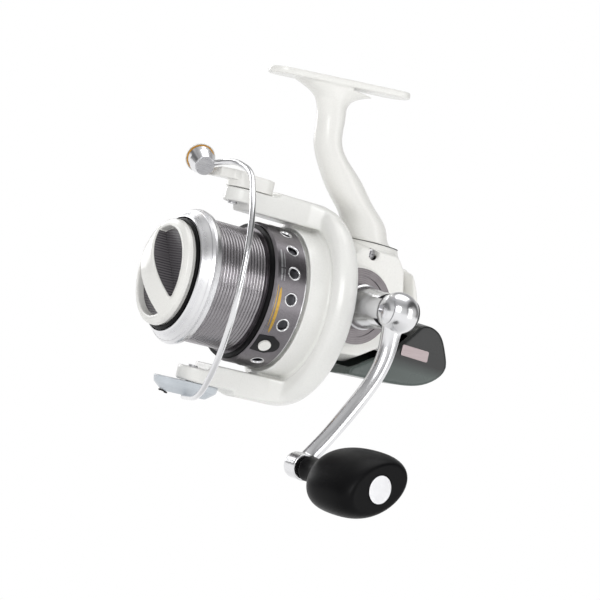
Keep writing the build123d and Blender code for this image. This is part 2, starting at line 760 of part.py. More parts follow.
# === Spool and drag =============================================================================
HUB_BORE = 3.4 + RUNNING
CHAMBER_R = 19.5
CHAMBER_FLOOR = 62.0
HOLES = 17
HOLE_R = 2.55
HOLE_X = 38.8
HOLE_PITCH = 360 / HOLES
FIRST_HOLE = 1.0
SPOOL_POINTS = [
    (SKIRT_REAR, SKIRT_R - 1.3),
    (SKIRT_REAR, SKIRT_R),
    (SKIRT_FRONT - 1.0, SKIRT_R),
    (SKIRT_FRONT, SKIRT_R - 1.0),
    (SKIRT_FRONT, 29.6),
    (BED_REAR, 29.6),
    (BED_REAR, BED_R),
    (BED_FRONT, BED_R),
    (BED_FRONT, CHAMBER_R + 2.0),
    (BED_FRONT + 1.0, CHAMBER_R + 2.0),
    (BED_FRONT + 1.0, CHAMBER_R),
    (CHAMBER_FLOOR, CHAMBER_R),
    (CHAMBER_FLOOR, HUB_BORE),
    (SEAT_X + 2.1, HUB_BORE),
    (SEAT_X + 2.1, 10.0),
    (CHAMBER_FLOOR - 2.4, 10.0),
    (CHAMBER_FLOOR - 2.4, BED_R - 2.2),
    (SKIRT_FRONT - 0.4, BED_R - 2.2),
    (SKIRT_FRONT - 1.8, SKIRT_R - 1.3),
]


def round_skirt(angle):
    """Plane outside the skirt at an angle from +Y, looking out along the radius."""
    turn = math.radians(angle)
    out = (0, math.cos(turn), math.sin(turn))
    return Plane(origin=spot(HOLE_X, 25 * out[1], 25 * out[2]), x_dir=(1, 0, 0), z_dir=out)


clip_turn = math.radians(CLIP_ANGLE)
CLIP_OUT = (0, math.cos(clip_turn), math.sin(clip_turn))


def clip_plane(radius):
    """Plane over the line clip at a distance from the main shaft, looking outwards."""
    return Plane(
        origin=spot(CLIP_X, radius * CLIP_OUT[1], radius * CLIP_OUT[2]),
        x_dir=(1, 0, 0),
        z_dir=CLIP_OUT,
    )


CLIP_PIN_R = 1.4
with BuildPart() as spool:
    revolve(outline(beside(0), SPOOL_POINTS), axis=SHAFT_AXIS)
    for number in range(HOLES):
        angle = FIRST_HOLE + HOLE_PITCH * (number - 3)
        if abs(angle - CLIP_ANGLE) > 3.0:
            with BuildSketch(round_skirt(angle)):
                Circle(HOLE_R)
            extrude(amount=12.0, mode=Mode.SUBTRACT)
    with BuildSketch(clip_plane(29.0)):
        Circle(CLIP_PIN_R + 0.2)
    extrude(amount=8.0, mode=Mode.SUBTRACT)
save("spool", spool)

# Polished lip: a stepped ring pressed over the front of the bed.
with BuildPart() as spool_lip:
    revolve(
        outline(
            beside(0),
            [
                (BED_FRONT, BED_R - 1.0),
                (BED_FRONT, 29.4),
                (BED_FRONT + 1.4, 30.6),
                (BED_FRONT + 3.6, LIP_R),
                (LIP_FRONT + 0.2, LIP_R - 0.2),
                (LIP_FRONT + 1.4, 30.2),
                (LIP_FRONT + 1.4, 29.8),
                (LIP_FRONT + 5.0, 27.0),
                (LIP_FRONT + 5.4, 26.4),
                (LIP_FRONT + 4.6, 25.9),
                (LIP_FRONT + 1.0, 25.6),
                (LIP_FRONT - 2.4, 25.6),
                (LIP_FRONT - 2.4, CHAMBER_R + 0.6),
                (BED_FRONT + 1.1, CHAMBER_R + 0.6),
                (BED_FRONT + 1.1, CHAMBER_R + 2.1),
                (BED_FRONT, CHAMBER_R + 2.1),
            ],
        ),
        axis=SHAFT_AXIS,
    )
save("spool_lip", spool_lip)

with BuildPart() as bed_ring:
    revolve(ring(SKIRT_FRONT + 0.1, BED_REAR - 0.1, 29.6, 31.5), axis=SHAFT_AXIS)
save("bed_ring", bed_ring)

with BuildPart() as skirt_trim:
    revolve(ring(SKIRT_REAR - 0.5, SKIRT_REAR, SKIRT_R - 1.3, SKIRT_R - 0.1), axis=SHAFT_AXIS)
save("skirt_trim", skirt_trim)

with BuildPart() as clip_plate:
    revolve(ring(CLIP_X - 7.6, CLIP_X + 5.0, SKIRT_R, SKIRT_R + 0.35), axis=SHAFT_AXIS)
    with BuildSketch(clip_plane(25.0)):
        with BuildLine():
            Polyline((5.0, 4.6), (-2.6, 5.2), (-6.4, 3.0))
            ThreePointArc((-6.4, 3.0), (-7.6, 0.0), (-6.4, -3.0))
            Polyline((-6.4, -3.0), (-2.6, -5.2), (5.0, -4.6), (5.0, 4.6))
        make_face()
        Circle(CLIP_PIN_R + 0.2, mode=Mode.SUBTRACT)
    extrude(amount=14.0, mode=Mode.INTERSECT)
save("clip_plate", clip_plate)

with BuildPart() as clip_button:
    with BuildSketch(clip_plane(SKIRT_R - 2.6)):
        Circle(CLIP_PIN_R)
    extrude(amount=3.4)
    with BuildSketch(clip_plane(SKIRT_R + 0.5)):
        Circle(2.9)
    extrude(amount=0.9)
save("clip_button", clip_button)

# Drag stack in the front chamber, from the floor forwards.
DISC_THICK = 1.1
FELT_THICK = 1.3
with BuildPart() as drag_felts:
    for number in range(3):
        start = CHAMBER_FLOOR + number * (DISC_THICK + FELT_THICK)
        revolve(ring(start, start + FELT_THICK, 4.4, CHAMBER_R - 0.4), axis=SHAFT_AXIS)
save("drag_felts", drag_felts)

with BuildPart() as drag_discs:
    for number in range(2):
        start = CHAMBER_FLOOR + FELT_THICK + number * (DISC_THICK + FELT_THICK)
        revolve(ring(start, start + DISC_THICK, 3.8, CHAMBER_R - 0.2), axis=SHAFT_AXIS)
save("drag_discs", drag_discs)

STACK_FRONT = CHAMBER_FLOOR + 3 * FELT_THICK + 2 * DISC_THICK
with BuildPart() as pressure_disc:
    revolve(ring(STACK_FRONT, STACK_FRONT + 1.6, 3.8, CHAMBER_R - 0.5), axis=SHAFT_AXIS)
save("pressure_disc", pressure_disc)

with BuildPart() as drag_retainer:
    revolve(ring(STACK_FRONT + 2.0, STACK_FRONT + 2.8, CHAMBER_R - 2.2, CHAMBER_R), axis=SHAFT_AXIS)
    with BuildSketch(across(STACK_FRONT + 2.0)):
        with Locations((0, CHAMBER_R - 1.0)):
            Rectangle(5.0, 5.0)
    extrude(amount=1.0, mode=Mode.SUBTRACT)
save("drag_retainer", drag_retainer)

# === Drag knob ==================================================================================
KNOB_REAR = 79.6
KNOB_FACE = 89.6
KNOB_CROWN = 96.4
GRIP_ANGLE = -47.6
GRIP_WIDTH = 11.0
WINDOW_DEPTH = 3.4
NUT_R = 4.6
NUT_REAR = STACK_FRONT + 2.4
NUT_FRONT = KNOB_FACE - WINDOW_DEPTH
with BuildPart() as drag_knob:
    revolve(
        outline(
            beside(0),
            [
                (KNOB_REAR + 1.0, 21.0),
                (KNOB_REAR + 1.0, KNOB_RIM_R - 0.8),
                (82.2, KNOB_RIM_R - 0.8),
                (82.2, KNOB_RIM_R - 1.6),
                (85.6, KNOB_RIM_R - 1.6),
                (85.6, KNOB_RIM_R - 0.2),
                (KNOB_FACE - 1.6, KNOB_RIM_R - 0.8),
                (KNOB_FACE, KNOB_RIM_R - 2.6),
                (KNOB_FACE, 20.6),
                (NUT_FRONT, 20.2),
                (NUT_FRONT, NUT_R + 0.1),
                (KNOB_REAR + 3.4, NUT_R + 0.1),
                (KNOB_REAR + 3.4, 21.0),
            ],
        ),
        axis=SHAFT_AXIS,
    )
    # The grip bar crosses the face on a slant and bulges forward.
    with BuildSketch(across(NUT_FRONT)):
        Rectangle(2 * KNOB_RIM_R, GRIP_WIDTH, rotation=GRIP_ANGLE)
    extrude(amount=12.0)
    with BuildSketch(beside(0)):
        with BuildLine():
            Polyline((KNOB_REAR, 0.0), (KNOB_CROWN, 0.0))
            ThreePointArc((KNOB_CROWN, 0.0), (94.0, 13.5), (KNOB_FACE - 1.0, KNOB_RIM_R - 1.0))
            Polyline((KNOB_FACE - 1.0, KNOB_RIM_R - 1.0), (KNOB_REAR, KNOB_RIM_R - 0.2), (KNOB_REAR, 0.0))
        make_face()
    revolve(axis=SHAFT_AXIS, mode=Mode.INTERSECT)
    revolve(ring(KNOB_REAR - 1, NUT_FRONT + 0.4, 0.0, NUT_R + 0.1), axis=SHAFT_AXIS, mode=Mode.SUBTRACT)
    revolve(ring(KNOB_REAR, SHAFT_NOSE + 0.4, 0.0, SHAFT_R + 0.3), axis=SHAFT_AXIS, mode=Mode.SUBTRACT)
save("drag_knob", drag_knob)

with BuildPart() as knob_windows:
    revolve(ring(NUT_FRONT, NUT_FRONT + 0.8, 0.0, 19.6), axis=SHAFT_AXIS)
    with BuildSketch(across(NUT_FRONT)):
        Rectangle(60.0, GRIP_WIDTH + 0.6, rotation=GRIP_ANGLE)
    extrude(amount=12.0, mode=Mode.SUBTRACT)
save("knob_windows", knob_windows)

with BuildPart() as knob_o_ring:
    with BuildSketch(beside(0)):
        with Locations((83.6, KNOB_RIM_R - 0.55)):
            Circle(1.0)
    revolve(axis=SHAFT_AXIS)
save("knob_o_ring", knob_o_ring)

with BuildPart() as drag_nut:
    revolve(ring(NUT_REAR, NUT_FRONT, SHAFT_R + RUNNING, NUT_R), axis=SHAFT_AXIS)
save("drag_nut", drag_nut)

# Coned washers on the nut's sleeve, between the knob and the pressure disc.
with BuildPart() as drag_spring:
    for number in range(3):
        start = STACK_FRONT + 3.0 + number * 1.6
        washer = [(start, NUT_R), (start + 1.2, 8.4), (start + 1.6, 8.4), (start + 0.4, NUT_R)]
        revolve(outline(beside(0), washer), axis=SHAFT_AXIS)
save("drag_spring", drag_spring)

# === Bail =======================================================================================
ROLLER_CENTRE = spot(77.4, -9.8, 54.0)
ROLLER_DIRECTION = (0.12, 0.91, -0.40)
PAD_LOW = ARM_SEAT_Z + GAP
PAD_HIGH = 52.0
LEVER_LOW = -52.0
CUP_RIM = -2.2
CUP_FLOOR = -3.0
BAIL_ROLLER_BORE = 2.0


def roller_plane(along):
    """Plane square to the line roller's axis, at a distance along it from the roller's middle."""
    base = Plane(origin=ROLLER_CENTRE, z_dir=ROLLER_DIRECTION)
    return base.offset(along)


def roller_disc(along, radius):
    """Round section of a piece on the line roller's axis."""
    with BuildSketch(roller_plane(along)) as section:
        Circle(radius)
    return section.sketch


def bail_point(reach, height):
    """Place in the hoop's plane: its reach from the pivots' axis, and its height."""
    turn = math.radians(BAIL_ANGLE)
    return spot(BAIL_X + reach * math.cos(turn), reach * math.sin(turn), height)


# The neck stays above the rotor arm's highest face, so the bail can swing over it.
NECK_LOW = ARM_TOP_Z + 0.4
NECK_PLAN = [(56.0, -7.0), (66.0, -7.4), (75.6, -16.6), (80.5, -12.5), (66.6, 5.4), (58.0, 7.0)]
with BuildPart() as bail_arm:
    with BuildSketch(level(PAD_LOW, 55.1)):
        SlotOverall(22.4, 15.6)
    extrude(amount=PAD_HIGH - PAD_LOW)
    extrude(outline(level(NECK_LOW), NECK_PLAN, 1.5), amount=4.4)
    loft([roller_disc(-7.0, 5.2), roller_disc(CUP_RIM, 7.1)])
    with BuildSketch(roller_plane(CUP_RIM)):
        Circle(7.6)
    extrude(amount=24.0, mode=Mode.SUBTRACT)
    with BuildSketch(roller_plane(CUP_FLOOR)):
        Circle(6.45)
    extrude(amount=2.0, mode=Mode.SUBTRACT)
    with BuildSketch(roller_plane(-6.0)):
        Circle(BAIL_ROLLER_BORE)
    extrude(amount=10.0, mode=Mode.SUBTRACT)
    with BuildSketch(level(PAD_LOW - 1.0, BAIL_X)):
        Circle(2.0)
    extrude(amount=4.0, mode=Mode.SUBTRACT)
save("bail_arm", bail_arm)

with BuildPart() as roller_ring:
    with BuildSketch(roller_plane(CUP_FLOOR)):
        Circle(6.4)
        Circle(BAIL_ROLLER_BORE, mode=Mode.SUBTRACT)
    extrude(amount=0.7)
save("roller_ring", roller_ring)

ROLLER_HALF = 1.9
ROLLER_WAIST_R = 4.7
with BuildPart() as line_roller:
    loft(
        [
            roller_disc(-ROLLER_HALF, 5.8),
            roller_disc(0.0, ROLLER_WAIST_R),
            roller_disc(ROLLER_HALF, 5.6),
        ],
        ruled=True,
    )
    with BuildSketch(roller_plane(-3.0)):
        Circle(3.0)
    extrude(amount=6.0, mode=Mode.SUBTRACT)
save("line_roller", line_roller)

with BuildPart() as roller_bush:
    with BuildSketch(roller_plane(-2.2)):
        Circle(3.0 - RUNNING)
        Circle(BAIL_ROLLER_BORE, mode=Mode.SUBTRACT)
    extrude(amount=4.4)
save("roller_bush", roller_bush)

CAP_START = 2.2
CAP_END = 7.4
with BuildPart() as wire_cap:
    loft([roller_disc(CAP_START, 6.0), roller_disc(CAP_END, 4.5)])
    with BuildSketch(roller_plane(CAP_START)):
        Circle(BAIL_ROLLER_BORE)
    extrude(amount=10.0, mode=Mode.SUBTRACT)
save("wire_cap", wire_cap)

with BuildPart() as roller_screw:
    with BuildSketch(roller_plane(-6.0)):
        Circle(BAIL_ROLLER_BORE)
    extrude(amount=6.0 + CAP_END)
    with BuildSketch(roller_plane(CAP_END)):
        Circle(4.2)
    extrude(amount=0.8)
save("roller_screw", roller_screw)

with BuildPart() as lower_lever:
    for height, length, width in ((-PAD_LOW, 32.0, 13.0), (-48.5, 31.0, 12.4), (LEVER_LOW, 22.0, 6.0)):
        with BuildSketch(level(height, 63.6)):
            SlotOverall(length, width)
    loft(ruled=True)
    with BuildSketch(level(-PAD_LOW + 1.0, BAIL_X)):
        Circle(2.0)
    extrude(amount=-6.0, mode=Mode.SUBTRACT)
save("lower_lever", lower_lever)

WIRE_POINTS = [
    spot(78.0, -5.6, 51.6),
    spot(72.4, -0.6, 54.4),
    spot(69.4, 9.6, 55.6),
    bail_point(27.0, 51.5),
    bail_point(47.0, 33.6),
    bail_point(57.0, 12.0),
    bail_point(57.4, -12.0),
    bail_point(47.6, -34.4),
    bail_point(27.6, -51.2),
    spot(64.0, 1.6, -52.6),
]


def bend_radii(points):
    """Largest arcs that fit each corner of a route of straight runs."""
    radii = []
    for before, corner, after in zip(points, points[1:], points[2:]):
        arriving = Vector(*corner) - Vector(*before)
        leaving = Vector(*after) - Vector(*corner)
        turn = math.radians(arriving.get_angle(leaving))
        radii.append(0.45 * min(arriving.length, leaving.length) / math.tan(turn / 2))
    return radii


with BuildPart() as bail_wire:
    with BuildLine() as wire_route:
        FilletPolyline(*WIRE_POINTS, radius=bend_radii(WIRE_POINTS))
    with BuildSketch(Plane(origin=wire_route.line @ 0, z_dir=wire_route.line % 0)):
        Circle(BAIL_WIRE_R)
    sweep()
    add(wire_cap.part, mode=Mode.SUBTRACT)
    add(roller_screw.part, mode=Mode.SUBTRACT)
    add(lower_lever.part, mode=Mode.SUBTRACT)
save("bail_wire", bail_wire)

PIN_REACH = 7.4
with BuildPart() as bail_pins:
    for side in (1, -1):
        with BuildSketch(level(side * (ARM_SEAT_Z - PIN_REACH), BAIL_X)):
            Circle(PIVOT_R - RUNNING)
        extrude(amount=side * PIN_REACH)
        with BuildSketch(level(side * ARM_SEAT_Z, BAIL_X)):
            Circle(2.0)
        extrude(amount=side * (GAP + 2.6))
save("bail_pins", bail_pins)

# === Crank ======================================================================================
COLLAR_END = 46.0
SLOT_HALF = 6.8
SLOT_FLOOR = 55.5
SLOT_R = 9.9
HEAD_HALF = 6.5
HEAD_R = 9.3
PIN_R = 1.8
with BuildPart() as crank_collar:
    revolve(
        outline(
            CRANK_SECTION,
            [
                (27.2, SIDE_BORE),
                (27.2, 9.0),
                (28.5, 10.4),
                (31.5, 10.4),
                (32.2, 9.8),
                (38.0, 9.2),
                (44.0, 8.4),
                (COLLAR_END, 8.2),
                (COLLAR_END, 0.0),
                (27.2, 0.0),
            ],
        ),
        axis=CRANK_AXIS,
    )
    revolve(crank_ring(27.0, 27.3, 0.0, SIDE_BORE), axis=CRANK_AXIS, mode=Mode.SUBTRACT)
save("crank_collar", crank_collar)

KNUCKLE_FOOT = [(COLLAR_END, 0.0), (COLLAR_END, 8.2), (55.6, 8.2), (KNUCKLE_Y, 9.0), (KNUCKLE_Y, 0.0)]
with BuildPart() as knuckle:
    with Locations(spot(0, KNUCKLE_Y, CRANK_Z)):
        Sphere(KNUCKLE_R)
    revolve(outline(CRANK_SECTION, KNUCKLE_FOOT), axis=CRANK_AXIS)
    with BuildSketch(level(-20.0, 0, SLOT_FLOOR + 10.0)):
        Rectangle(2 * SLOT_HALF, 20.0)
    extrude(amount=60.0, mode=Mode.SUBTRACT)
    with BuildSketch(across(-SLOT_HALF)):
        with Locations((KNUCKLE_Y, CRANK_Z)):
            Circle(SLOT_R)
    extrude(amount=2 * SLOT_HALF, mode=Mode.SUBTRACT)
    with BuildSketch(across(-12.0)):
        with Locations((KNUCKLE_Y, CRANK_Z)):
            Circle(PIN_R)
    extrude(amount=24.0, mode=Mode.SUBTRACT)
save("knuckle", knuckle)

with BuildPart() as fold_pin:
    with BuildSketch(across(-8.6)):
        with Locations((KNUCKLE_Y, CRANK_Z)):
            Circle(PIN_R)
    extrude(amount=17.2)
save("fold_pin", fold_pin)

# The arm runs straight down from its head, then bends forward and outward to the knob's spindle.
# Each section: height, x, y, width and thickness.
ARM_SECTIONS = [
    (3.0, 0.2, 60.6, 11.6, 9.0),
    (-3.0, 1.2, 60.6, 9.4, 8.2),
    (-12.0, 1.2, 60.6, 8.3, 7.6),
    (-21.0, 3.2, 61.2, 8.0, 7.2),
    (-31.0, 8.0, 62.2, 8.4, 6.8),
    (-46.0, 18.0, 64.8, 8.8, 6.4),
    (-57.0, 26.1, 66.6, 8.8, 6.2),
    (-64.6, 32.2, 68.2, 9.0, 6.2),
]
KNOB_AXIS = (-math.sin(math.radians(KNOB_TILT)), math.cos(math.radians(KNOB_TILT)), 0)
SPINDLE_R = 2.6


def knob_plane(along, turn=0.0):
    """Plane square to the knob's axis; its local x is the paddle's wide way, turned up by turn."""
    lean = math.radians(turn)
    wide = (
        -math.cos(math.radians(KNOB_TILT)) * math.cos(lean),
        -math.sin(math.radians(KNOB_TILT)) * math.cos(lean),
        math.sin(lean),
    )
    return Plane(origin=spot(*CRANK_END), x_dir=wide, z_dir=KNOB_AXIS).offset(along)


# The head is the middle slice of a ball, between the knuckle's cheeks.
with BuildPart() as crank_head:
    with Locations(spot(0, KNUCKLE_Y, CRANK_Z)):
        Sphere(HEAD_R)
    with BuildSketch(across(-HEAD_HALF)):
        with Locations((KNUCKLE_Y, CRANK_Z)):
            Circle(HEAD_R + 1.0)
    extrude(amount=2 * HEAD_HALF, mode=Mode.INTERSECT)

with BuildPart() as crank_arm:
    for height, x, y, width, thick in ARM_SECTIONS:
        with BuildSketch(level(height, x, y)):
            Ellipse(width / 2, thick / 2)
    loft()
    add(crank_head.part)
    with BuildSketch(beside(CRANK_END[1] + 4.4, CRANK_END[0], CRANK_END[2])):
        Circle(5.8)
    extrude(amount=9.0)
    with BuildSketch(across(-10.0)):
        with Locations((KNUCKLE_Y, CRANK_Z)):
            Circle(PIN_R + RUNNING)
    extrude(amount=20.0, mode=Mode.SUBTRACT)
    with BuildSketch(knob_plane(-6.0)):
        Circle(SPINDLE_R)
    extrude(amount=12.0, mode=Mode.SUBTRACT)
save("crank_arm", crank_arm)

PADDLE_TURN = 30.0
with BuildPart() as knob_spindle:
    with BuildSketch(knob_plane(-4.0)):
        Circle(SPINDLE_R)
    extrude(amount=KNOB_LENGTH - 3.0)
save("knob_spindle", knob_spindle)

# Rubber paddle: place along the spindle, half width and half thickness.
PADDLE = [
    (5.6, 6.0, 6.0),
    (14.0, 6.2, 6.0),
    (17.5, 8.6, 7.8),
    (22.0, 14.5, 10.8),
    (28.0, 18.2, 12.3),
    (44.0, 19.0, 12.4),
    (50.0, 17.0, 10.8),
    (52.0, 14.0, 8.6),
]
with BuildPart() as crank_knob:
    for along, wide, thick in PADDLE:
        with BuildSketch(knob_plane(along, PADDLE_TURN)):
            Ellipse(wide, thick)
    loft()
    with BuildSketch(knob_plane(5.0)):
        Circle(SPINDLE_R + RUNNING)
    extrude(amount=KNOB_LENGTH - 10.0, mode=Mode.SUBTRACT)
    with BuildSketch(knob_plane(KNOB_LENGTH - 1.0)):
        Circle(5.9)
    extrude(amount=2.0, mode=Mode.SUBTRACT)
save("crank_knob", crank_knob)

with BuildPart() as knob_cap:
    with BuildSketch(knob_plane(KNOB_LENGTH - 1.0)):
        Circle(5.9)
    extrude(amount=1.2)
save("knob_cap", knob_cap)
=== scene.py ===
import json
import math

import bmesh
import bpy
from mathutils import Matrix, Vector


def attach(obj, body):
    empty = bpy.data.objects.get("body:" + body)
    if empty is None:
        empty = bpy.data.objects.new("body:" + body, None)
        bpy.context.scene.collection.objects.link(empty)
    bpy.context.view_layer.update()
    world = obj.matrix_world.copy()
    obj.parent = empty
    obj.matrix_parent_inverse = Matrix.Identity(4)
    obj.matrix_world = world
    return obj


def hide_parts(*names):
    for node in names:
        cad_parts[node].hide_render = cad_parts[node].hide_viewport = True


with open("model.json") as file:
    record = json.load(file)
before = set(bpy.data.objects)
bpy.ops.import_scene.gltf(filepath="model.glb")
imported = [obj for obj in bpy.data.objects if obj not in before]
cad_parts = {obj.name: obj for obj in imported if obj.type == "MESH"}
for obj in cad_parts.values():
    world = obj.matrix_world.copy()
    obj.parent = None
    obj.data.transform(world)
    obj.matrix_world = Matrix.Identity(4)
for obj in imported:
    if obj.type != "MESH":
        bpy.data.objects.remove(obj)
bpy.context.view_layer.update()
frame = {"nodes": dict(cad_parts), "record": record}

# The shapes below are given in millimetres from the reel's centre, a point of the main shaft's axis
# right below the crank's axis: X runs along the shaft to the nose, Y to the crank, Z to the foot.
MM = 0.001
CENTRE = Vector((-21.7, 0.0, -107.3)) * MM
CRANK_RISE = 5.7
NODES = frame["nodes"]


def spot(x, y, z):
    """Place in the shared frame, in metres, of a point in millimetres from the reel's centre."""
    return CENTRE + Vector((x, y, z)) * MM


def grey(value):
    return (value, value, value)


# --- node trees ---------------------------------------------------------------------------------
class Nodes:
    """A node tree, with methods that add a node, link it and return its output."""

    def __init__(self, tree):
        self.tree = tree

    def node(self, kind, **inputs):
        made = self.tree.nodes.new(kind)
        for key, value in inputs.items():
            made.inputs[key.replace("_", " ")].default_value = value
        return made

    def link(self, source, target):
        self.tree.links.new(source, target)

    def ramp(self, source, stops):
        made = self.tree.nodes.new("ShaderNodeValToRGB")
        while len(made.color_ramp.elements) < len(stops):
            made.color_ramp.elements.new(0.5)
        for element, (place, colour) in zip(made.color_ramp.elements, stops):
            element.position = place
            element.color = (*colour, 1.0)
        self.link(source, made.inputs["Fac"])
        return made.outputs["Color"]

    def level(self, source, low, high, start=0.3, end=0.7):
        """Map start..end to low..high."""
        made = self.node("ShaderNodeMapRange", From_Min=start, From_Max=end, To_Min=low, To_Max=high)
        self.link(source, made.inputs["Value"])
        return made.outputs["Result"]

    def math(self, operation, first, second=None):
        made = self.tree.nodes.new("ShaderNodeMath")
        made.operation = operation
        for socket, value in zip(made.inputs, (first, second)):
            if value is None:
                continue
            if isinstance(value, (int, float)):
                socket.default_value = value
            else:
                self.link(value, socket)
        return made.outputs["Value"]

    def vector_math(self, operation, first, second=None):
        made = self.tree.nodes.new("ShaderNodeVectorMath")
        made.operation = operation
        self.link(first, made.inputs[0])
        if second is not None:
            made.inputs[1].default_value = second
        return made.outputs

    def split(self, source):
        """The X, Y and Z outputs of a vector."""
        made = self.tree.nodes.new("ShaderNodeSeparateXYZ")
        self.link(source, made.inputs["Vector"])
        return made.outputs


class Shader(Nodes):
    """A material around one Principled shader, with its textures in object space."""

    def __init__(self, name):
        self.material = bpy.data.materials.new(name)
        self.material.use_nodes = True
        super().__init__(self.material.node_tree)
        self.main = self.tree.nodes["Principled BSDF"]
        self.place = self.tree.nodes.new("ShaderNodeTexCoord").outputs["Object"]

    def set(self, **values):
        for key, value in values.items():
            self.main.inputs[key.replace("_", " ")].default_value = value

    def colour(self, source, dark, light, start=0.3, end=0.7):
        self.link(self.ramp(source, [(start, dark), (end, light)]), self.main.inputs["Base Color"])

    def roughness(self, source, low, high):
        self.link(self.level(source, low, high), self.main.inputs["Roughness"])

    def stretched(self, scale):
        """Object coordinates stretched along each axis, in cells per metre."""
        mapping = self.node("ShaderNodeMapping", Scale=scale)
        self.link(self.place, mapping.inputs["Vector"])
        return mapping.outputs["Vector"]

    def noise(self, scale, detail=3.0, vector=None):
        made = self.node("ShaderNodeTexNoise", Scale=scale, Detail=detail)
        self.link(vector or self.place, made.inputs["Vector"])
        return made.outputs["Fac"]

    def mix(self, first, second, share):
        """Weighted sum of two textures, with the given share of the first."""
        return self.math(
            "ADD",
            self.math("MULTIPLY", first, share),
            self.math("MULTIPLY", second, 1.0 - share),
        )

    def waves(self, way, pitch):
        return self.math("SINE", self.math("MULTIPLY", way, 2 * math.pi / pitch))

    def bump(self, height, strength, distance):
        made = self.node("ShaderNodeBump", Strength=strength, Distance=distance)
        self.link(height, made.inputs["Height"])
        self.link(made.outputs["Normal"], self.main.inputs["Normal"])


# --- kinds of material --------------------------------------------------------------------------
def painted(name, light, dark):
    """Lacquered paint: faint pearl flake and slow drift of colour, with a fine orange peel."""
    s = Shader(name)
    drift = s.noise(14.0, 1.0)
    fleck = s.noise(3200.0, 1.0)
    s.colour(s.mix(drift, fleck, 0.6), dark, light, 0.2, 0.8)
    s.roughness(fleck, 0.26, 0.30)
    s.bump(fleck, 0.02, 0.0002)
    s.set(Coat_Weight=0.35, Coat_Roughness=0.16)
    return s.material


def metal(name, light, dark, rough, grain=(900.0, 900.0, 900.0), relief=0.05):
    """Bare metal whose grain runs along the axis with the lowest of its three frequencies."""
    s = Shader(name)
    streaks = s.noise(1.0, 4.0, s.stretched(grain))
    s.colour(streaks, dark, light)
    s.roughness(streaks, *rough)
    s.bump(streaks, relief, 0.0002)
    s.set(Metallic=1.0)
    return s.material


def turned(name, light, dark, rough, centre, axis, pitch, relief=0.12):
    """Metal turned on a lathe: fine rings around an axis through a point."""
    s = Shader(name)
    local = s.split(s.vector_math("SUBTRACT", s.place, centre)["Vector"])
    sides = [local[label] for label in "XYZ" if label != axis]
    squares = [s.math("POWER", side, 2.0) for side in sides]
    radius = s.math("SQRT", s.math("ADD", *squares))
    waves = s.waves(s.math("ADD", radius, local[axis]), pitch)
    rings = s.math("ADD", s.math("MULTIPLY", waves, 0.25), 0.5)
    both = s.mix(rings, s.noise(300.0, 3.0), 0.6)
    s.colour(both, dark, light, 0.25, 0.75)
    s.roughness(both, *rough)
    s.bump(rings, relief, 0.0001)
    s.set(Metallic=1.0)
    return s.material


def plastic(name, light, dark, rough, scale=500.0, relief=0.1, coat=0.0, shine=0.4):
    """Moulded plastic or rubber with a fine skin."""
    s = Shader(name)
    patches = s.noise(45.0, 3.0)
    s.colour(patches, dark, light)
    s.roughness(patches, *rough)
    s.bump(s.noise(scale, 2.0), relief, 0.0004)
    s.set(Coat_Weight=coat, Coat_Roughness=0.12, Specular_IOR_Level=shine)
    return s.material


def woven(name, light, dark, pitch):
    """Woven carbon fibre, seen on faces that look along X."""
    s = Shader(name)
    local = s.split(s.place)
    across = s.waves(s.math("ADD", local["Y"], local["Z"]), pitch)
    along = s.waves(s.math("SUBTRACT", local["Y"], local["Z"]), pitch)
    cell = s.math("ADD", s.math("MULTIPLY", s.math("MULTIPLY", across, along), 0.5), 0.5)
    s.colour(cell, dark, light, 0.35, 0.65)
    s.roughness(cell, 0.22, 0.4)
    s.bump(cell, 0.25, 0.0002)
    s.set(Specular_IOR_Level=0.25)
    return s.material


def two_tone(name, upper, lower, crease, slope):
    """Moulded shell that is darker above a crease line, whose height falls with slope along X."""
    s = Shader(name)
    local = s.split(s.place)
    height = s.math("ADD", local["Z"], s.math("MULTIPLY", local["X"], slope))
    grain = s.noise(60.0, 2.0)
    edge = s.math("ADD", height, s.math("MULTIPLY", grain, 0.0004))
    share = s.level(edge, 0.0, 1.0, crease - 0.006, crease + 0.003)
    s.colour(share, lower, upper, 0.0, 0.62)
    s.roughness(grain, 0.24, 0.32)
    s.bump(s.noise(900.0), 0.03, 0.0002)
    s.set(Coat_Weight=0.25, Coat_Roughness=0.15, Specular_IOR_Level=0.35)
    return s.material


# --- materials ----------------------------------------------------------------------------------
SHAFT_AXIS = (tuple(CENTRE), "X")
CRANK_AXIS = (tuple(spot(0, 0, CRANK_RISE)), "Y")

PEARL = painted("pearl_white", (0.845, 0.84, 0.81), (0.795, 0.79, 0.76))
ROTOR_WHITE = painted("rotor_white", (0.855, 0.855, 0.83), (0.80, 0.80, 0.775))
PALE_SILVER = painted("pale_silver", (0.62, 0.66, 0.70), (0.52, 0.56, 0.60))
SIDE_METAL = turned(
    "side_gunmetal", (0.21, 0.195, 0.20), (0.12, 0.11, 0.115), (0.26, 0.36), *CRANK_AXIS, 0.0009
)
SPOOL_METAL = turned(
    "spool_gunmetal", (0.24, 0.225, 0.24), (0.17, 0.16, 0.17), (0.24, 0.34), *SHAFT_AXIS, 0.0006
)
# The spool's gunmetal lightened for the bed: painted highlight for the bright band along the bed's middle.
BED_METAL_PAINTED_HIGHLIGHT = turned(
    "bed_gunmetal_painted_highlight", (0.37, 0.355, 0.37), (0.33, 0.315, 0.33), (0.20, 0.25), *SHAFT_AXIS, 0.0007, 0.0
)
# Near-black sheet behind the skirt's holes: painted shade.
HOLE_SHADE = turned(
    "painted_hole_shade", (0.10, 0.10, 0.11), (0.04, 0.04, 0.045), (0.3, 0.45), *SHAFT_AXIS, 0.0005
)
DARK_GLOSS = two_tone("dark_gloss", (0.010, 0.011, 0.011), (0.075, 0.095, 0.088), -0.1162, -0.045)
LABEL = metal(
    "label_silver", (0.40, 0.34, 0.345), (0.30, 0.25, 0.255), (0.3, 0.42), (120.0, 900.0, 1800.0), 0.02
)
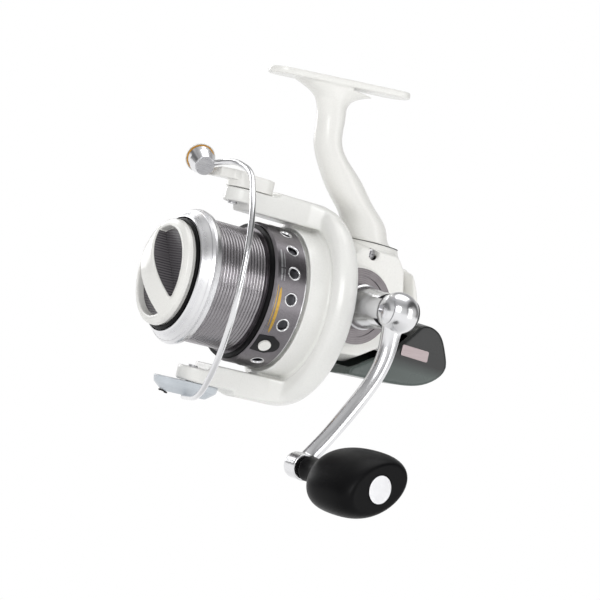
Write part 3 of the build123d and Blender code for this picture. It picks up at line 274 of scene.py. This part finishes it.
CHROME = metal("chrome", (0.82, 0.82, 0.83), (0.78, 0.78, 0.80), (0.19, 0.23), (60.0, 60.0, 60.0), 0.0)
LIP_CHROME = turned(
    "lip_polished", (0.84, 0.84, 0.85), (0.76, 0.76, 0.78), (0.26, 0.32), *SHAFT_AXIS, 0.0007, 0.02
)
SILVER = turned(
    "collar_silver", (0.76, 0.76, 0.77), (0.64, 0.64, 0.66), (0.18, 0.28), *CRANK_AXIS, 0.0006
)
STEEL = metal("brushed_steel", (0.62, 0.62, 0.63), (0.46, 0.46, 0.48), (0.25, 0.4), (120.0, 1500.0, 1500.0))
BRASS = metal("machined_brass", (0.80, 0.62, 0.30), (0.62, 0.46, 0.20), (0.22, 0.36))
GOLD = metal("gold_print", (0.62, 0.40, 0.10), (0.45, 0.28, 0.06), (0.3, 0.45))
IRON = metal("cast_iron", (0.30, 0.30, 0.31), (0.18, 0.18, 0.19), (0.5, 0.7), (500.0, 500.0, 500.0), 0.4)
NYLON = plastic("nylon", (0.84, 0.82, 0.76), (0.76, 0.74, 0.68), (0.4, 0.55))
BLACK = plastic("black_plastic", (0.014, 0.014, 0.016), (0.008, 0.008, 0.009), (0.4, 0.5), shine=0.25)
RUBBER = plastic(
    "black_rubber", (0.0045, 0.0045, 0.005), (0.0025, 0.0025, 0.003), (0.34, 0.44), 1400.0, 0.08, shine=0.10
)
AMBER = plastic("amber", (0.72, 0.38, 0.07), (0.50, 0.24, 0.04), (0.2, 0.3), 900.0, 0.03, 0.3)
CARBON = woven("carbon", (0.125, 0.118, 0.125), (0.060, 0.056, 0.062), 0.0022)
FELT = plastic("felt", (0.28, 0.25, 0.21), (0.18, 0.16, 0.13), (0.8, 0.95), 2500.0, 0.6)

FINISHES = {
    "pearl_white": PEARL,
    "gunmetal": SPOOL_METAL,
    "dark_gloss": DARK_GLOSS,
    "label_silver": LABEL,
    "pale_silver": PALE_SILVER,
    "steel": STEEL,
    "polished": CHROME,
    "silver": SILVER,
    "brass": BRASS,
    "iron": IRON,
    "nylon": NYLON,
    "black_plastic": BLACK,
    "carbon": CARBON,
    "amber": AMBER,
    "black_rubber": RUBBER,
    "felt": FELT,
}
OWN_FINISH = {"side_ring": SIDE_METAL, "left_cap": SIDE_METAL, "spool_lip": LIP_CHROME, "rotor": ROTOR_WHITE}

node_slot = {part["node"]: part["material_slot"] for part in frame["record"]["subparts"]}
for name, obj in NODES.items():
    finish = OWN_FINISH.get(name, FINISHES[node_slot[name]])
    obj.data.materials.clear()
    obj.data.materials.append(finish)

body_of = {name: body for body, names in frame["record"]["behaviour"]["bodies"].items() for name in names}


# --- pieces -------------------------------------------------------------------------------------
def piece(name, mesh, node, finish, replaced=None):
    """Put a finished mesh in the scene on the body of a CAD node, with the given finish."""
    obj = bpy.data.objects.new(name, mesh)
    bpy.context.scene.collection.objects.link(obj)
    mesh.materials.clear()
    mesh.materials.append(finish)
    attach(obj, body_of[node])
    if replaced:
        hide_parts(*replaced)
    return obj


def smooth(mesh):
    for polygon in mesh.polygons:
        polygon.use_smooth = True


def cast(node, voxel, rounds, finish):
    """One cast or moulded skin over a CAD node: its edges and joins softened by a few rounds."""
    obj = piece(node + "_skin", NODES[node].data.copy(), node, finish, [node])
    remesh = obj.modifiers.new("skin", "REMESH")
    remesh.mode = "VOXEL"
    remesh.voxel_size = voxel * MM
    soften = obj.modifiers.new("soften", "SMOOTH")
    soften.factor = 0.5
    soften.iterations = rounds
    shape = obj.evaluated_get(bpy.context.evaluated_depsgraph_get())
    mesh = bpy.data.meshes.new_from_object(shape)
    obj.modifiers.clear()
    obj.data = mesh
    smooth(mesh)


def skin(name, rows, node, finish, closed=True):
    """Smooth skin through rows of points; a closed skin joins each row's last point to its first."""
    shape = bmesh.new()
    lines = [[shape.verts.new(point) for point in row] for row in rows]
    count = len(lines[0])
    for first, second in zip(lines, lines[1:]):
        for step in range(count if closed else count - 1):
            after = (step + 1) % count
            shape.faces.new((first[step], first[after], second[after], second[step]))
    bmesh.ops.recalc_face_normals(shape, faces=shape.faces)
    mesh = bpy.data.meshes.new(name)
    shape.to_mesh(mesh)
    shape.free()
    smooth(mesh)
    piece(name, mesh, node, finish)


def turns(steps):
    """Angles of one full turn."""
    return [2 * math.pi * step / steps for step in range(steps)]


def shares(steps):
    """Even steps from 0 to 1, both ends included."""
    return [step / steps for step in range(steps + 1)]


# Cast and moulded shells. Voxels are in millimetres.
cast("body", 0.45, 16, PEARL)
cast("side_cover", 0.4, 14, PEARL)
cast("rotor", 0.5, 14, ROTOR_WHITE)
cast("rear_cover", 0.4, 30, DARK_GLOSS)
cast("rear_cap", 0.4, 20, PEARL)
cast("bail_arm", 0.25, 8, PEARL)
cast("lower_lever", 0.3, 24, PALE_SILVER)
cast("crank_arm", 0.3, 14, CHROME)
cast("crank_knob", 0.5, 12, RUBBER)
cast("drag_knob", 0.35, 8, PEARL)


# --- spool --------------------------------------------------------------------------------------
LATHE_STEPS = 160


def lathe(name, profile, node, finish):
    """Skin turned about the main shaft from (x, radius) points."""
    rows = [
        [spot(x, radius * math.cos(turn), radius * math.sin(turn)) for turn in turns(LATHE_STEPS)]
        for x, radius in profile
    ]
    skin(name, rows, node, finish)


# Ridged sleeve of the spool's bed. Its gunmetal is lighter than the spool's: a painted highlight.
BED_REAR = 50.2
BED_FRONT = 73.4
BED_R = 27.75
SLEEVE_R = 27.3
RIDGE_COUNT = 15
RIDGE = 1.53
RIDGE_RISE = ((0.0, 0.0), (0.1, 0.30), (0.3, 0.50), (0.5, 0.56), (0.7, 0.50), (0.9, 0.30), (0.97, 0.0))

ridges = [(BED_REAR, SLEEVE_R), (BED_REAR, BED_R + 0.05)]
for number in range(RIDGE_COUNT):
    start = BED_REAR + 0.2 + number * RIDGE
    for share, rise in RIDGE_RISE:
        ridges.append((start + share * RIDGE, BED_R + rise))
ridges += [(BED_FRONT, BED_R + 0.03), (BED_FRONT, SLEEVE_R)]
lathe("bed_ridges", ridges, "spool", BED_METAL_PAINTED_HIGHLIGHT)

# Dark turned wall just inside the skirt, seen through its holes: painted shade standing in for the shadowed
# hollow behind them.
WALL_REAR = 33.2
WALL_FRONT = 46.0
WALL_R = 31.1
WALL_LIP_R = 31.45
lathe(
    "hole_shade_wall",
    [(WALL_REAR, WALL_LIP_R), (WALL_REAR, WALL_R), (WALL_FRONT, WALL_R), (WALL_FRONT, WALL_LIP_R)],
    "spool",
    HOLE_SHADE,
)


def on_skirt(x, angle, radius):
    """Place on a drum about the main shaft; the angle is in degrees from +Y."""
    turn = math.radians(angle)
    return spot(x, radius * math.cos(turn), radius * math.sin(turn))


# Bright chamfers around the skirt's holes. The line clip sits where one hole would be.
SKIRT_R = 32.8
HOLE_X = 38.8
HOLES = 17
HOLE_STEP = 360 / HOLES
FIRST_HOLE = 1.0 - 3 * HOLE_STEP
CLIP_ANGLE = -40.4
NEAR_CLIP = 3.0
RIM_PROFILE = ((2.5, 31.9), (2.52, 32.86), (2.9, 33.0), (3.15, 32.86))


def hole_rim(name, angle):
    """Chamfer around the hole at an angle, through RIM_PROFILE's (half width, drum radius) points."""
    rows = [
        [
            on_skirt(
                HOLE_X + half * math.cos(turn),
                angle + math.degrees(half * math.sin(turn) / SKIRT_R),
                radius,
            )
            for turn in turns(40)
        ]
        for half, radius in RIM_PROFILE
    ]
    skin(name, rows, "spool", CHROME)


for number in range(HOLES):
    angle = FIRST_HOLE + HOLE_STEP * number
    if abs(angle - CLIP_ANGLE) > NEAR_CLIP:
        hole_rim(f"hole_rim_{number}", angle)

STRIPE_R = 32.84


def stripe(name, first, last, centre, half, slant, finish):
    """Thin printed stroke on the skirt between two angles, pointed at both ends."""
    rows = []
    for share in shares(24):
        angle = first + (last - first) * share
        width = half * math.sqrt(max(1.0 - (2 * share - 1) ** 4, 0.0004))
        middle = centre + slant * (share - 0.5)
        rows.append([on_skirt(middle + side * width, angle, STRIPE_R) for side in (-1, 0, 1)])
    skin(name, rows, "spool", finish, closed=False)


stripe("gold_stroke", -29.0, 9.0, 44.4, 0.75, 0.8, GOLD)
stripe("gold_underline", -24.0, 11.0, 46.1, 0.2, 0.4, GOLD)
stripe("silver_stroke", 14.0, 42.0, 45.2, 0.5, 0.0, STEEL)
stripe("silver_underline", 14.0, 40.0, 43.7, 0.25, 0.0, STEEL)


# --- lower lever --------------------------------------------------------------------------------
def curved_ring(name, centre, normal, radius, thick, sweep, node, finish):
    """Round-section ring, open over part of its turn, in a plane through centre."""
    side = normal.orthogonal().normalized()
    up = normal.cross(side).normalized()
    rows = []
    for share in shares(40):
        turn = math.radians(sweep) * share
        out = side * math.cos(turn) + up * math.sin(turn)
        rows.append([
            centre + (out * (radius + thick * math.cos(lean)) + normal * thick * math.sin(lean)) * MM
            for lean in turns(8)
        ])
    skin(name, rows, node, finish)


LEVER_FACE = Vector((0.25, 0.0, -1.0)).normalized()
curved_ring("lever_clip", spot(74.0, 0.0, -52.2), LEVER_FACE, 1.9, 0.35, 290.0, "lower_lever", BLACK)

# --- drag knob ----------------------------------------------------------------------------------
GRIP_ANGLE = -47.6
GRIP_SIDE = 5.66
GRIP_REACH = 19.4
WINDOW_FLOOR = 86.9
CROWN_TOP = 96.4
CROWN_BEND = 0.01317


def window_wall(name, offset):
    """Dark wall along one side of the knob's grip bar, below its pale crown."""
    turn = math.radians(GRIP_ANGLE)
    rows = []
    for share in shares(24):
        run = GRIP_REACH * (2 * share - 1)
        y = run * math.cos(turn) - offset * math.sin(turn)
        z = run * math.sin(turn) + offset * math.cos(turn)
        edge = CROWN_TOP - CROWN_BEND * (run * run + offset * offset) - 1.0
        rows.append([spot(x, y, z) for x in (WINDOW_FLOOR, (WINDOW_FLOOR + edge) / 2, edge)])
    skin(name, rows, "knob_windows", CARBON, closed=False)


window_wall("window_wall_front", GRIP_SIDE)
window_wall("window_wall_rear", -GRIP_SIDE)

# --- stem ---------------------------------------------------------------------------------------
SEAM_Z = 37.0
SEAM_THICK = 0.3
STEM_REAR = -28.0
STEM_FRONT = -0.4
STEM_HALF = 12.4


def stem_seam(name):
    """Dark parting line around the oval foot of the stem."""
    middle = (STEM_REAR + STEM_FRONT) / 2
    half_length = (STEM_FRONT - STEM_REAR) / 2
    low, high = SEAM_Z - SEAM_THICK / 2, SEAM_Z + SEAM_THICK / 2
    rows = [
        [
            spot(
                middle + (half_length + grow) * math.cos(turn),
                (STEM_HALF + grow) * math.sin(turn),
                height,
            )
            for turn in turns(96)
        ]
        for grow, height in ((-0.5, low), (0.06, low), (0.06, high), (-0.5, high))
    ]
    skin(name, rows, "body", BLACK)


stem_seam("stem_seam")

# --- camera -------------------------------------------------------------------------------------
UP = Vector((0.2186, -0.0821, 0.9724))
BACK = Vector((-0.8438, 0.4846, 0.2306)).cross(UP).normalized()
RIGHT = UP.cross(BACK).normalized()
camera_data = bpy.data.cameras.new("camera")
camera_data.sensor_width = 36.0
camera_data.lens = 114.9
camera_data.clip_start = 0.05
camera_data.clip_end = 60.0
camera = bpy.data.objects.new("camera", camera_data)
turned_to = Matrix((RIGHT, UP, BACK)).transposed().to_4x4()
camera.matrix_world = Matrix.Translation(spot(453.2, 777.1, -29.8)) @ turned_to
bpy.context.scene.collection.objects.link(camera)
bpy.context.scene.camera = camera

# --- floor --------------------------------------------------------------------------------------
BACKDROP = (*grey(1.0), 1.0)
FLOOR_Z = -0.42
floor_mesh = bpy.data.meshes.new("floor")
shape = bmesh.new()
bmesh.ops.create_grid(shape, x_segments=12, y_segments=12, size=14.0)
shape.to_mesh(floor_mesh)
shape.free()
floor = bpy.data.objects.new("floor", floor_mesh)
floor.location = (0.0, 0.0, FLOOR_Z)
bpy.context.scene.collection.objects.link(floor)

# The floor fades into the backdrop away from the reel.
pale = Shader("pale_floor")
pale.colour(pale.noise(3.0), grey(0.80), grey(0.83))
pale.set(Roughness=0.9)
glow = pale.node("ShaderNodeEmission", Color=BACKDROP, Strength=1.0)
blend = pale.tree.nodes.new("ShaderNodeMixShader")
distance = pale.vector_math("LENGTH", pale.place)["Value"]
pale.link(pale.level(distance, 0.0, 1.0, 0.1, 0.45), blend.inputs["Fac"])
pale.link(pale.main.outputs["BSDF"], blend.inputs[1])
pale.link(glow.outputs["Emission"], blend.inputs[2])
pale.link(blend.outputs["Shader"], pale.tree.nodes["Material Output"].inputs["Surface"])
floor_mesh.materials.append(pale.material)

# --- studio -------------------------------------------------------------------------------------
SKY_BY_HEIGHT = ((0.0, 0.45), (0.40, 0.85), (0.52, 1.0), (0.68, 0.95), (0.85, 0.5), (1.0, 1.0))
CARDS_BY_SIDE = ((0.0, 1.0), (0.66, 1.0), (0.74, 0.22), (0.90, 0.22), (0.955, 0.9), (1.0, 1.0))
SKY_STRENGTH = 0.68

bpy.context.scene.view_settings.view_transform = "Standard"
world = bpy.data.worlds.new("studio")
bpy.context.scene.world = world
world.use_nodes = True
sky = Nodes(world.node_tree)
for old in list(sky.tree.nodes):
    sky.tree.nodes.remove(old)


def greys(stops):
    return [(place, grey(value)) for place, value in stops]


way = sky.tree.nodes.new("ShaderNodeTexCoord").outputs["Generated"]
height = sky.level(sky.split(way)["Z"], 0.0, 1.0, -1.0, 1.0)
tone = sky.ramp(height, greys(SKY_BY_HEIGHT))

# Two dark cards stand on each side of the reel, so bright metal has dark lines along its edges.
aside = sky.vector_math("DOT_PRODUCT", way, tuple(RIGHT))["Value"]
cards = sky.ramp(sky.math("ABSOLUTE", aside), greys(CARDS_BY_SIDE))

product = sky.tree.nodes.new("ShaderNodeMix")
product.data_type = "RGBA"
product.blend_type = "MULTIPLY"
product.inputs["Factor"].default_value = 1.0
sky.link(tone, product.inputs["A"])
sky.link(cards, product.inputs["B"])
lit = sky.node("ShaderNodeBackground", Strength=SKY_STRENGTH)
sky.link(product.outputs["Result"], lit.inputs["Color"])

# The camera sees the plain backdrop, and the reel is lit by the sky.
seen = sky.node("ShaderNodeBackground", Color=BACKDROP)
path = sky.tree.nodes.new("ShaderNodeLightPath")
choose = sky.tree.nodes.new("ShaderNodeMixShader")
out = sky.tree.nodes.new("ShaderNodeOutputWorld")
sky.link(path.outputs["Is Camera Ray"], choose.inputs["Fac"])
sky.link(lit.outputs["Background"], choose.inputs[1])
sky.link(seen.outputs["Background"], choose.inputs[2])
sky.link(choose.outputs["Shader"], out.inputs["Surface"])

REEL_MIDDLE = Vector((0.0, 0.0, -0.08))


def softbox(name, place, size, power):
    """Large soft lamp that looks at the reel's middle."""
    lamp = bpy.data.lights.new(name, "AREA")
    lamp.shape = "RECTANGLE"
    lamp.size, lamp.size_y = size
    lamp.energy = power
    obj = bpy.data.objects.new(name, lamp)
    obj.location = place
    aim = REEL_MIDDLE - Vector(place)
    obj.rotation_euler = aim.to_track_quat("-Z", "Y").to_euler()
    bpy.context.scene.collection.objects.link(obj)


softbox("key", (0.8, 1.1, 0.35), (0.6, 0.6), 6.0)
softbox("fill", (-0.7, 1.0, 0.1), (0.5, 0.9), 2.4)
softbox("top", (-0.1, -0.1, 1.1), (1.0, 0.8), 4.2)
softbox("rim", (0.3, -1.0, 0.3), (0.6, 0.8), 4.0)
